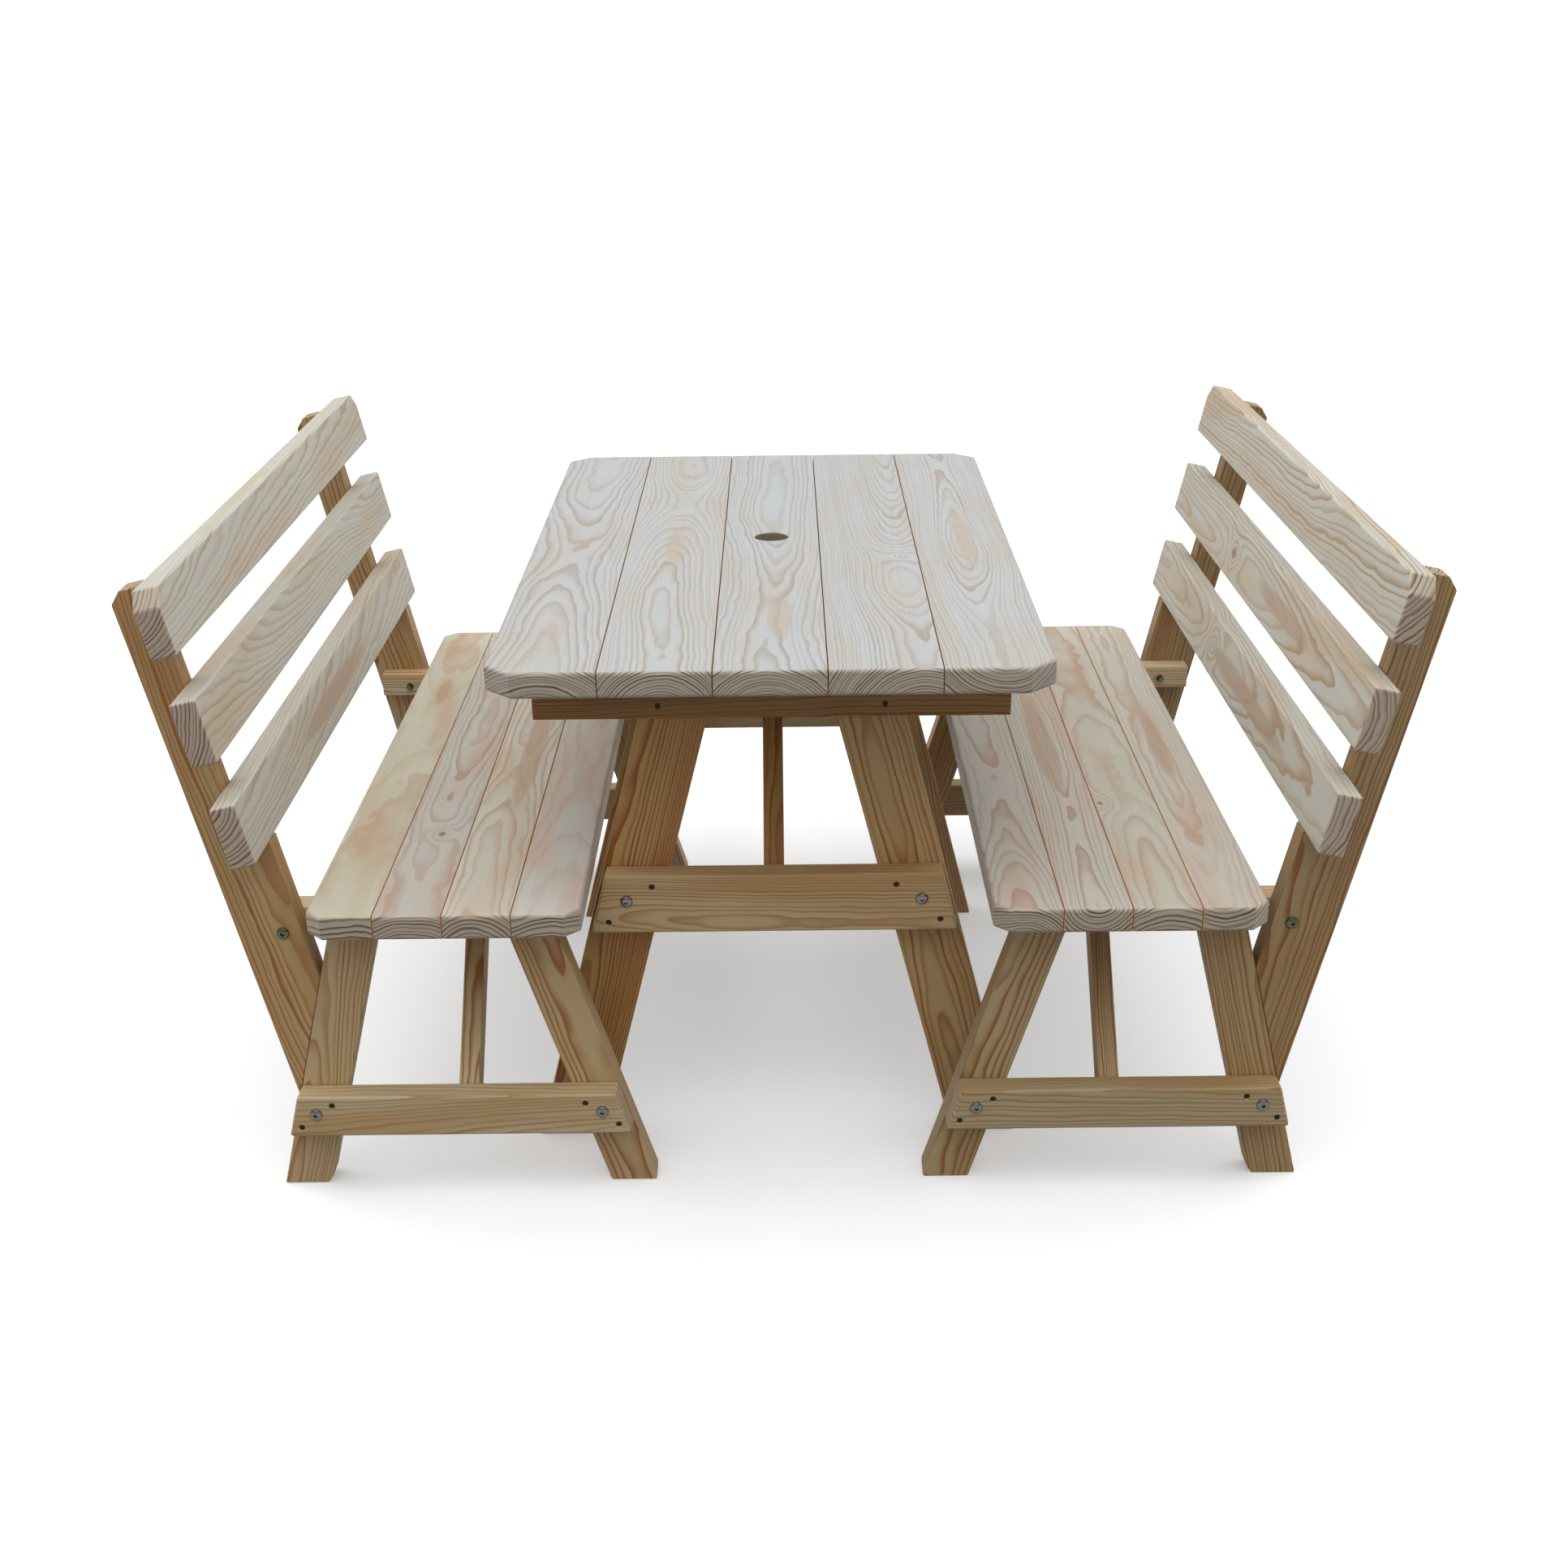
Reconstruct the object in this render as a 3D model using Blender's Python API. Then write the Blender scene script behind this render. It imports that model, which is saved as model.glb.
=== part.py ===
"""Pine picnic table with two free-standing benches, modelled board by board.

Run with:  blender --background --python part.py
Units are metres, +Z is up.  X runs across the set, from the left bench to the right
bench, and Y runs along the boards, from the front to the rear.  The world origin is on
the floor, at the middle of the whole set's box.  Every board is its own object.  The
table and each bench hang under an empty of their own, because each bench is moved by
sliding it over the floor, straight away from the table.
"""

import math

import bmesh
import bpy
from mathutils import Vector

# ---------------------------------------------------------------- driving dimensions
GAP = 0.0003                # clearance kept between two boards that touch
FRAME_THICKNESS = 0.0381    # dressed 2-by stock of legs, rails, battens and posts
BOARD_THICKNESS = 0.034     # table and seat boards, planed smooth
TIGHT_SEAM = 0.001          # seam between neighbouring boards
BOARD_EASE = 0.005          # eased edge around the assembled table top and seats
SLAT_EASE = 0.003           # eased edge of back slats
FRAME_EASE = 0.0015         # eased edge of frame members

TABLE_LENGTH = 1.219        # 48 in
TABLE_HEIGHT = 0.772
TABLE_BOARDS = 5
TABLE_BOARD_WIDTH = 0.1397  # dressed 1x6 or 2x6
TABLE_CORNER_CLIP = 0.034
UMBRELLA_HOLE_RADIUS = 0.025
UMBRELLA_HOLE_OFFSET = 0.038    # from the table's middle towards the rear
TABLE_FRAME_SETBACK = 0.171     # board end to the outer face of batten and rail
BATTEN_LENGTH = 0.627
BATTEN_HEIGHT = 0.0855
TABLE_LEG_WIDTH = 0.0889
TABLE_LEG_TOP = 0.152       # centre line to the leg's outer edge, under the boards
TABLE_SPLAY = math.radians(14.8)
TABLE_RAIL_HEIGHT = 0.0855
TABLE_RAIL_CENTRE = 0.3855
TABLE_RAIL_INSET = 0.0036   # rail end to the leg's outer edge
TABLE_BRACE_RUN = 0.290
BRACE_WIDTH = 0.028
BRACE_DEPTH = 0.038

SEAT_LENGTH = 1.256
SEAT_HEIGHT = 0.445
SEAT_BOARDS = 4
SEAT_BOARD_WIDTH = 0.0885
SEAT_CORNER_CLIP = 0.0215
BENCH_FRAME_SETBACK = 0.033     # seat end to the outer face of the rail
BENCH_LEG_WIDTH = 0.0635        # dressed 2x3
INNER_LEG_TOP = 0.046       # seat's inner edge to the inner leg's inner edge
INNER_SPLAY = math.radians(17.35)
OUTER_LEG_TOP = 0.338       # seat's inner edge to the outer leg's outer edge
OUTER_SPLAY = math.radians(14.7)
BENCH_RAIL_HEIGHT = 0.0615
BENCH_RAIL_CENTRE = 0.129
CLEAT_SIZE = 0.038
CLEAT_INSET = 0.012         # cleat end back from the post's outer edge
BENCH_BRACE_PLACE = 0.174   # seat's inner edge to the brace's middle
BENCH_BRACE_RUN = 0.281
FOOT_CLIP = 0.010           # small vertical clip on the table side of each bench foot

POST_LEAN = math.radians(12.3)
POST_WIDTH = 0.085
POST_FOOT = 0.381           # seat's inner edge to the post's inner edge, under the seat
POST_TOP = 0.470            # height along the post, from the seat's underside
POST_CORNER_CLIP = 0.015
SLAT_WIDTH = 0.0835
SLAT_THICKNESS = 0.034
SLAT_OVERHANG = 0.004       # slat end past the seat end
SLAT_STARTS = {"low": 0.112, "middle": 0.253, "top": 0.394}   # along the post
TOP_SLAT_CLIP = 0.022

BOLT_SHANK_RADIUS = 0.004
BOLT_HOLE_RADIUS = 0.0043
BOLT_HEAD_RADIUS = 0.0085
BOLT_HEAD_HEIGHT = 0.0045
BOLT_END = 0.003            # thread left past the nut
NUT_RADIUS = 0.0075         # to the nut's corners
NUT_HEIGHT = 0.0065
BOLT_PLACE = 0.403          # seat's inner edge to the post bolt
BOLT_HEIGHT = 0.390

LEFT_BENCH_GAP = 0.250      # table's centre line to the left seat's inner edge
RIGHT_BENCH_GAP = 0.285     # table's centre line to the right seat's inner edge
BENCH_SETBACK = 0.011       # table board end to seat board end, at the front

# ---------------------------------------------------------------- derived dimensions
TABLE_UNDERSIDE = TABLE_HEIGHT - BOARD_THICKNESS
SEAT_UNDERSIDE = SEAT_HEIGHT - BOARD_THICKNESS
TABLE_PITCH = TABLE_BOARD_WIDTH + TIGHT_SEAM
SEAT_PITCH = SEAT_BOARD_WIDTH + TIGHT_SEAM
BENCH_MIDDLE_Y = BENCH_SETBACK + (SEAT_LENGTH - TABLE_LENGTH) / 2
SLAT_LENGTH = SEAT_LENGTH + 2 * SLAT_OVERHANG
SET_REAR = BENCH_MIDDLE_Y + SLAT_LENGTH / 2
SET_FRONT = -TABLE_LENGTH / 2
SET_MIDDLE = Vector(((RIGHT_BENCH_GAP - LEFT_BENCH_GAP) / 2, (SET_REAR + SET_FRONT) / 2, 0.0))

ENDS = {"front": -1, "rear": 1}
SIDES = {"left": -1, "right": 1}


# ---------------------------------------------------------------- scene and materials
def clear_scene():
    for item in list(bpy.data.objects):
        bpy.data.objects.remove(item, do_unlink=True)


def principled(name, colour, roughness, metallic=0.0):
    material = bpy.data.materials.new(name)
    material.use_nodes = True
    shader = material.node_tree.nodes["Principled BSDF"]
    shader.inputs["Base Color"].default_value = (*colour, 1.0)
    shader.inputs["Roughness"].default_value = roughness
    shader.inputs["Metallic"].default_value = metallic
    return material


def empty(name, location, parent=None):
    holder = bpy.data.objects.new(name, None)
    holder.location = location
    holder.parent = parent
    bpy.context.collection.objects.link(holder)
    return holder


# ---------------------------------------------------------------- building boards
def prism(name, outline, low, high, plane, material):
    """Return a new object: an outline in one plane, extruded from low to high."""
    place = {
        "XY": lambda a, b, depth: (a, b, depth),
        "XZ": lambda a, b, depth: (a, depth, b),
        "YZ": lambda a, b, depth: (depth, a, b),
    }[plane]
    shape = bmesh.new()
    base = shape.faces.new([shape.verts.new(place(a, b, low)) for a, b in outline])
    grown = bmesh.ops.extrude_face_region(shape, geom=[base])["geom"]
    corners = [item for item in grown if isinstance(item, bmesh.types.BMVert)]
    bmesh.ops.translate(shape, verts=corners, vec=Vector(place(0, 0, high - low)))
    bmesh.ops.recalc_face_normals(shape, faces=shape.faces)
    mesh = bpy.data.meshes.new(name)
    shape.to_mesh(mesh)
    shape.free()
    mesh.materials.append(material)
    board = bpy.data.objects.new(name, mesh)
    bpy.context.collection.objects.link(board)
    return board


def ease_edges(board, width, seams=None):
    """Chamfer a board's edges.

    With seams, the x of the faces that meet a neighbour, only the top and bottom edges
    around the assembled top are chamfered, and its upright corners stay square.
    """
    mesh = board.data
    weights = mesh.attributes.new("bevel_weight_edge", "FLOAT", "EDGE")
    for edge in mesh.edges:
        start, end = (mesh.vertices[index].co for index in edge.vertices)
        square = False
        if seams is not None:
            upright = abs(start.z - end.z) > GAP
            in_seam = any(max(abs(start.x - x), abs(end.x - x)) < GAP for x in seams)
            square = upright or in_seam
        weights.data[edge.index].value = 0.0 if square else 1.0
    bevel = board.modifiers.new("eased_edges", "BEVEL")
    bevel.width = width
    bevel.segments = 1
    bevel.limit_method = "WEIGHT"


def cut_round_hole(board, radius, location, axis, length):
    """Drill a round hole through a board; location is in the board's parent's frame."""
    sides = 48 if radius > 0.01 else 20
    shape = bmesh.new()
    bmesh.ops.create_cone(
        shape,
        cap_ends=True,
        segments=sides,
        radius1=radius,
        radius2=radius,
        depth=length,
    )
    mesh = bpy.data.meshes.new(board.name + "_drill")
    shape.to_mesh(mesh)
    shape.free()
    drill = bpy.data.objects.new(board.name + "_drill", mesh)
    bpy.context.collection.objects.link(drill)
    drill.parent = board.parent
    drill.location = location
    drill.rotation_euler = Vector((0, 0, 1)).rotation_difference(axis).to_euler()
    drill.hide_render = True
    drill.display_type = "WIRE"
    cut = board.modifiers.new("drilled_hole", "BOOLEAN")
    cut.operation = "DIFFERENCE"
    cut.solver = "EXACT"
    cut.object = drill


def clipped_board(length, low_x, high_x, clip, clip_low_side, clip_high_side):
    """Outline of a flat board along Y, with 45-degree clips on its outer corners."""
    end = length / 2
    outline = []
    for x, y, clipped in (
        (low_x, -end, clip_low_side),
        (high_x, -end, clip_high_side),
        (high_x, end, clip_high_side),
        (low_x, end, clip_low_side),
    ):
        if not clipped:
            outline.append((x, y))
            continue
        inward_x = clip if x == low_x else -clip
        inward_y = clip if y < 0 else -clip
        along_x = (x + inward_x, y)
        along_y = (x, y + inward_y)
        turns_from_side = (x == low_x) == (y < 0)
        outline.extend((along_y, along_x) if turns_from_side else (along_x, along_y))
    return outline


def brace_outline(end, rail_face, rail_centre, underside, run):
    """Outline in YZ of a brace from a rail's inner face up to the boards' underside."""
    slope = math.atan2(underside - rail_centre, run)
    half_foot = BRACE_DEPTH / 2 / math.cos(slope)
    top = underside - GAP
    foot = GAP
    low_edge_run = foot + (top - rail_centre + half_foot) / math.tan(slope)
    high_edge_run = foot + (top - rail_centre - half_foot) / math.tan(slope)
    points = (
        (foot, rail_centre - half_foot),
        (low_edge_run, top),
        (high_edge_run, top),
        (foot, rail_centre + half_foot),
    )
    return [(end * (rail_face - inward), z) for inward, z in points]


# ---------------------------------------------------------------- the table
def build_table_top(table, pine):
    half_width = (TABLE_BOARDS * TABLE_PITCH - TIGHT_SEAM) / 2
    for number in range(TABLE_BOARDS):
        low_x = -half_width + number * TABLE_PITCH
        high_x = low_x + TABLE_BOARD_WIDTH
        first, last = number == 0, number == TABLE_BOARDS - 1
        outline = clipped_board(TABLE_LENGTH, low_x, high_x, TABLE_CORNER_CLIP, first, last)
        name = f"table_top_board_{number + 1}"
        board = prism(name, outline, 0.0, BOARD_THICKNESS, "XY", pine)
        board.parent = table
        board.location.z = TABLE_UNDERSIDE
        seams = ([] if first else [low_x]) + ([] if last else [high_x])
        ease_edges(board, BOARD_EASE, seams)
        if number == TABLE_BOARDS // 2:
            centre = (0.0, UMBRELLA_HOLE_OFFSET, TABLE_UNDERSIDE + BOARD_THICKNESS / 2)
            cut_round_hole(board, UMBRELLA_HOLE_RADIUS, centre, Vector((0, 0, 1)), 0.1)


def table_leg_edge(height):
    """Distance from the centre line to a table leg's outer edge at a height."""
    return TABLE_LEG_TOP + (TABLE_UNDERSIDE - height) * math.tan(TABLE_SPLAY)


def build_table_end(table, end_name, pine):
    end = ENDS[end_name]
    outer_face = TABLE_LENGTH / 2 - TABLE_FRAME_SETBACK
    inner_face = outer_face - FRAME_THICKNESS
    rail_layer = sorted((end * outer_face, end * inner_face))
    leg_face = inner_face - GAP
    leg_layer = sorted((end * leg_face, end * (leg_face - FRAME_THICKNESS)))
    top = TABLE_UNDERSIDE - GAP

    half = BATTEN_LENGTH / 2
    low = TABLE_UNDERSIDE - BATTEN_HEIGHT
    batten_outline = [(-half, low), (half, low), (half, top), (-half, top)]

    low = TABLE_RAIL_CENTRE - TABLE_RAIL_HEIGHT / 2
    high = TABLE_RAIL_CENTRE + TABLE_RAIL_HEIGHT / 2
    low_half = table_leg_edge(low) - TABLE_RAIL_INSET
    high_half = table_leg_edge(high) - TABLE_RAIL_INSET
    rail_outline = [(-low_half, low), (low_half, low), (high_half, high), (-high_half, high)]

    pieces = [
        prism(f"table_{end_name}_batten", batten_outline, *rail_layer, "XZ", pine),
        prism(f"table_{end_name}_rail", rail_outline, *rail_layer, "XZ", pine),
    ]
    across = TABLE_LEG_WIDTH / math.cos(TABLE_SPLAY)
    for side_name, side in SIDES.items():
        leg_outline = [
            (side * table_leg_edge(top), top),
            (side * table_leg_edge(0.0), 0.0),
            (side * (table_leg_edge(0.0) - across), 0.0),
            (side * (table_leg_edge(top) - across), top),
        ]
        name = f"table_{end_name}_{side_name}_leg"
        pieces.append(prism(name, leg_outline, *leg_layer, "XZ", pine))
    outline = brace_outline(
        end, inner_face, TABLE_RAIL_CENTRE, TABLE_UNDERSIDE, TABLE_BRACE_RUN
    )
    half = BRACE_WIDTH / 2
    pieces.append(prism(f"table_{end_name}_brace", outline, -half, half, "YZ", pine))
    for piece in pieces:
        piece.parent = table
        ease_edges(piece, FRAME_EASE)


# ---------------------------------------------------------------- a bench
def inner_leg_edge(height):
    """Distance outward from the seat's inner edge to the inner leg's inner edge."""
    return INNER_LEG_TOP - (SEAT_UNDERSIDE - height) * math.tan(INNER_SPLAY)


def outer_leg_edge(height):
    """Distance outward from the seat's inner edge to the outer leg's outer edge."""
    return OUTER_LEG_TOP + (SEAT_UNDERSIDE - height) * math.tan(OUTER_SPLAY)


def facing(side, outline):
    """Turn an outline measured outward from the seat's inner edge to the bench's side."""
    return [(side * outward, height) for outward, height in outline]


def build_seat(bench, bench_name, side, pine):
    for number in range(SEAT_BOARDS):
        start = number * SEAT_PITCH
        low_x, high_x = sorted((side * start, side * (start + SEAT_BOARD_WIDTH)))
        first_or_last = (number == 0, number == SEAT_BOARDS - 1)
        low_side, high_side = first_or_last[::side]
        outline = clipped_board(
            SEAT_LENGTH, low_x, high_x, SEAT_CORNER_CLIP, low_side, high_side
        )
        name = f"{bench_name}_seat_board_{number + 1}"
        board = prism(name, outline, 0.0, BOARD_THICKNESS, "XY", pine)
        board.parent = bench
        board.location.z = SEAT_UNDERSIDE
        seams = ([] if low_side else [low_x]) + ([] if high_side else [high_x])
        ease_edges(board, BOARD_EASE, seams)


def leg_outlines():
    """Outlines of the inner and the outer leg, measured outward from the inner edge."""
    top = SEAT_UNDERSIDE - GAP
    across_inner = BENCH_LEG_WIDTH / math.cos(INNER_SPLAY)
    across_outer = BENCH_LEG_WIDTH / math.cos(OUTER_SPLAY)
    toe = inner_leg_edge(FOOT_CLIP)
    heel = outer_leg_edge(0.0) - across_outer
    inner = [
        (inner_leg_edge(top), top),
        (toe, FOOT_CLIP),
        (toe, 0.0),
        (inner_leg_edge(0.0) + across_inner, 0.0),
        (inner_leg_edge(top) + across_inner, top),
    ]
    outer = [
        (outer_leg_edge(top), top),
        (outer_leg_edge(0.0), 0.0),
        (heel + FOOT_CLIP / 2, 0.0),
        (outer_leg_edge(FOOT_CLIP) - across_outer, FOOT_CLIP),
        (outer_leg_edge(top) - across_outer, top),
    ]
    return {"inner": inner, "outer": outer}


def post_outline(side):
    """Outline of a back post: X across it from its inner edge, Z along it."""
    lean_and_splay = POST_LEAN + OUTER_SPLAY
    drop = (POST_FOOT - OUTER_LEG_TOP) / (math.tan(POST_LEAN) + math.tan(OUTER_SPLAY))
    mitre_start = GAP / math.sin(lean_and_splay) - drop / math.cos(POST_LEAN)
    mitre_end = mitre_start - POST_WIDTH / math.tan(lean_and_splay)
    rebate_start = SLAT_STARTS["low"] - GAP
    rebate = SLAT_THICKNESS + GAP
    outline = [
        (0.0, mitre_start),
        (POST_WIDTH, mitre_end),
        (POST_WIDTH, POST_TOP - POST_CORNER_CLIP),
        (POST_WIDTH - POST_CORNER_CLIP, POST_TOP),
        (rebate, POST_TOP),
        (rebate, rebate_start),
        (0.0, rebate_start),
    ]
    return facing(side, outline)


def slat_outline(clip):
    """Outline of a back slat: Y along it and Z across it, from its lower edge."""
    end = SLAT_LENGTH / 2
    if not clip:
        return [(-end, 0.0), (end, 0.0), (end, SLAT_WIDTH), (-end, SLAT_WIDTH)]
    return [
        (-end, 0.0),
        (end, 0.0),
        (end, SLAT_WIDTH - clip),
        (end - clip, SLAT_WIDTH),
        (clip - end, SLAT_WIDTH),
        (-end, SLAT_WIDTH - clip),
    ]


def along_post(distance):
    """Offset outward and up of a point on a post's inner edge."""
    return (
        POST_FOOT + distance * math.sin(POST_LEAN),
        SEAT_UNDERSIDE + distance * math.cos(POST_LEAN),
    )


def build_slats(bench, bench_name, side, pine):
    for place, start in SLAT_STARTS.items():
        clip = TOP_SLAT_CLIP if place == "top" else 0.0
        low, high = sorted((0.0, side * SLAT_THICKNESS))
        slat = prism(f"{bench_name}_back_slat_{place}", slat_outline(clip), low, high, "YZ", pine)
        outward, height = along_post(start)
        slat.parent = bench
        slat.location = (side * outward, 0.0, height)
        slat.rotation_euler.y = side * POST_LEAN
        ease_edges(slat, SLAT_EASE)


def build_bolt(bench, name, side, end, head_face, nut_face, steel):
    """One bolt along Y: a low domed head, a shank and a hexagonal nut, in one piece."""
    profile = [
        (0.0, -BOLT_HEAD_HEIGHT),
        (BOLT_HEAD_RADIUS * 0.6, -BOLT_HEAD_HEIGHT * 0.85),
        (BOLT_HEAD_RADIUS, -GAP),
        (BOLT_SHANK_RADIUS, -GAP),
    ]
    grip = head_face - nut_face
    shape = bmesh.new()
    points = [shape.verts.new((radius, 0.0, depth)) for radius, depth in profile]
    far = grip + NUT_HEIGHT + BOLT_END
    points.append(shape.verts.new((BOLT_SHANK_RADIUS, 0.0, far)))
    points.append(shape.verts.new((0.0, 0.0, far)))
    edges = [shape.edges.new(pair) for pair in zip(points, points[1:])]
    bmesh.ops.spin(
        shape,
        geom=points + edges,
        axis=(0, 0, 1),
        cent=(0, 0, 0),
        angle=math.tau,
        steps=20,
    )
    bmesh.ops.remove_doubles(shape, verts=shape.verts, dist=0.00001)
    bmesh.ops.recalc_face_normals(shape, faces=shape.faces)
    mesh = bpy.data.meshes.new(name)
    shape.to_mesh(mesh)
    shape.free()
    mesh.materials.append(steel)
    bolt = bpy.data.objects.new(name, mesh)
    bpy.context.collection.objects.link(bolt)
    bolt.parent = bench
    bolt.location = (side * BOLT_PLACE, end * head_face, BOLT_HEIGHT)
    bolt.rotation_euler.x = end * math.pi / 2

    corners = [
        (NUT_RADIUS * math.cos(turn * math.pi / 3), NUT_RADIUS * math.sin(turn * math.pi / 3))
        for turn in range(6)
    ]
    nut = prism(name + "_nut", corners, grip + GAP, grip + GAP + NUT_HEIGHT, "XY", steel)
    nut.parent = bolt
    nut.hide_render = True
    nut.display_type = "WIRE"
    join = bolt.modifiers.new("nut", "BOOLEAN")
    join.operation = "UNION"
    join.solver = "EXACT"
    join.object = nut


def build_bench_end(bench, bench_name, side, end_name, pine, steel):
    end = ENDS[end_name]
    prefix = f"{bench_name}_{end_name}"
    rail_face = SEAT_LENGTH / 2 - BENCH_FRAME_SETBACK
    rail_back = rail_face - FRAME_THICKNESS
    leg_face = rail_back - GAP
    leg_back = leg_face - FRAME_THICKNESS
    cleat_face = leg_back - GAP
    cleat_back = cleat_face - CLEAT_SIZE
    rail_layer = sorted((end * rail_face, end * rail_back))
    leg_layer = sorted((end * leg_face, end * leg_back))
    cleat_layer = sorted((end * cleat_face, end * cleat_back))
    cleat_top = SEAT_UNDERSIDE - GAP
    cleat_low = SEAT_UNDERSIDE - CLEAT_SIZE

    low = BENCH_RAIL_CENTRE - BENCH_RAIL_HEIGHT / 2
    high = BENCH_RAIL_CENTRE + BENCH_RAIL_HEIGHT / 2
    rail_outline = [
        (inner_leg_edge(low), low),
        (outer_leg_edge(low), low),
        (outer_leg_edge(high), high),
        (inner_leg_edge(high), high),
    ]
    post_across = POST_WIDTH / math.cos(POST_LEAN)
    cleat_end = POST_FOOT + post_across - CLEAT_SIZE / 2 * math.tan(POST_LEAN) - CLEAT_INSET
    cleat_outline = [
        (INNER_LEG_TOP, cleat_low),
        (cleat_end, cleat_low),
        (cleat_end, cleat_top),
        (INNER_LEG_TOP, cleat_top),
    ]
    rail = prism(f"{prefix}_rail", facing(side, rail_outline), *rail_layer, "XZ", pine)
    cleat = prism(f"{prefix}_cleat", facing(side, cleat_outline), *cleat_layer, "XZ", pine)
    pieces = [rail, cleat]
    for leg_name, leg_outline in leg_outlines().items():
        name = f"{prefix}_{leg_name}_leg"
        pieces.append(prism(name, facing(side, leg_outline), *leg_layer, "XZ", pine))

    outline = brace_outline(
        end, rail_back, BENCH_RAIL_CENTRE, SEAT_UNDERSIDE, BENCH_BRACE_RUN
    )
    low, high = sorted(
        (side * (BENCH_BRACE_PLACE - BRACE_WIDTH / 2), side * (BENCH_BRACE_PLACE + BRACE_WIDTH / 2))
    )
    pieces.append(prism(f"{prefix}_brace", outline, low, high, "YZ", pine))

    post = prism(f"{prefix}_post", post_outline(side), *leg_layer, "XZ", pine)
    outward, height = along_post(0.0)
    post.location = (side * outward, 0.0, height)
    post.rotation_euler.y = side * POST_LEAN
    pieces.append(post)
    for piece in pieces:
        piece.parent = bench
        ease_edges(piece, FRAME_EASE)

    bolt_axis = Vector((0, 1, 0))
    for piece, face in ((post, leg_face), (cleat, cleat_face)):
        centre = (side * BOLT_PLACE, end * (face - FRAME_THICKNESS / 2), BOLT_HEIGHT)
        cut_round_hole(piece, BOLT_HOLE_RADIUS, centre, bolt_axis, 2 * FRAME_THICKNESS)
    build_bolt(bench, f"{prefix}_post_bolt", side, end, leg_face, cleat_back, steel)


# ---------------------------------------------------------------- the set
def build_set():
    clear_scene()
    pale_pine = principled("pale_pine", (0.74, 0.63, 0.50), 0.6)
    frame_pine = principled("frame_pine", (0.62, 0.46, 0.26), 0.6)
    zinc = principled("zinc_steel", (0.55, 0.56, 0.53), 0.35, 1.0)

    whole = empty("picnic_set", -SET_MIDDLE)
    table = empty("table", (0.0, 0.0, 0.0), whole)
    build_table_top(table, pale_pine)
    for end_name in ENDS:
        build_table_end(table, end_name, frame_pine)

    gaps = {"left": LEFT_BENCH_GAP, "right": RIGHT_BENCH_GAP}
    for bench_name, side in SIDES.items():
        place = (side * gaps[bench_name], BENCH_MIDDLE_Y, 0.0)
        bench = empty(f"{bench_name}_bench", place, whole)
        build_seat(bench, bench_name, side, pale_pine)
        build_slats(bench, bench_name, side, pale_pine)
        for end_name in ENDS:
            build_bench_end(bench, bench_name, side, end_name, frame_pine, zinc)


build_set()
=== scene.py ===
"""Looks for the pine picnic table and its two benches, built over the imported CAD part.

Every timber is rebuilt from its CAD node's flat faces with rounded edges, and carries its
own grain: distances along, across and through the timber are kept as a mesh attribute,
and one pine pattern turns them into growth rings, streaks, blotches and knots.
"""

import math
import random

import bmesh
import bpy
from mathutils import Matrix, Vector


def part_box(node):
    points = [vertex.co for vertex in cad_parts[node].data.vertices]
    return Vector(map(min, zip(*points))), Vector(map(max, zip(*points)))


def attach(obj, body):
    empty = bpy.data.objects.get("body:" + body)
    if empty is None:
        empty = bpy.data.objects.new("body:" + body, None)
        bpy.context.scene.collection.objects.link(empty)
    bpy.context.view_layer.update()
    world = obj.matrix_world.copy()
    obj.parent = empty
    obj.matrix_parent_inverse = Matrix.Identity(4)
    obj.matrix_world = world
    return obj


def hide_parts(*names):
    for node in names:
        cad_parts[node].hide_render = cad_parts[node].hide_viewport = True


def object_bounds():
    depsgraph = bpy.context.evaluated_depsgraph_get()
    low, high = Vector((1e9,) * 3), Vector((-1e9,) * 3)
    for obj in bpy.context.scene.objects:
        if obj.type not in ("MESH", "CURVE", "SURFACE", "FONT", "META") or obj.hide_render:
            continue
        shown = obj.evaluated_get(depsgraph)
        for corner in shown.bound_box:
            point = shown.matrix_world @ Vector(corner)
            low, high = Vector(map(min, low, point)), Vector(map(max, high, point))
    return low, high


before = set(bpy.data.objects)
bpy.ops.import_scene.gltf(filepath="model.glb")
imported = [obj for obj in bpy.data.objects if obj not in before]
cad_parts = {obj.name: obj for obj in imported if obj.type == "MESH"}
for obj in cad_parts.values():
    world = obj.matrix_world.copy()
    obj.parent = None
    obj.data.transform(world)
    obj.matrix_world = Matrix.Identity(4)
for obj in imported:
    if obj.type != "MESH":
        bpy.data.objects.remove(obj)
set_low, set_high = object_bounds()

# ---------------------------------------------------------------- sizes, in metres
WELD = 0.00001
FLAT = 1                        # degrees: faces that meet at less are one flat face
LARGE = 6.0                     # side of the block that timbers are cut out of
PLANE_STEP = 0.0005             # two faces closer than this lie in one plane
NARROWEST_FACE = 0.003          # a CAD face narrower than this is never a timber's side
SAME_WAY = 0.999                # two directions with a larger dot product are the same
SQUARE = 0.001                  # two directions with a smaller one are at right angles
FACING = 0.6                    # a face whose normal reaches this belongs to a seam
WALL_TILT = 0.3                 # a bore's wall leans less than this out of the bore's line
SEAM_ROUND = 0.0005             # rounding along a seam between two boards
UPRIGHT_CORNER = 40             # degrees: a board's sharper upright corners stay crisp
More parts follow.
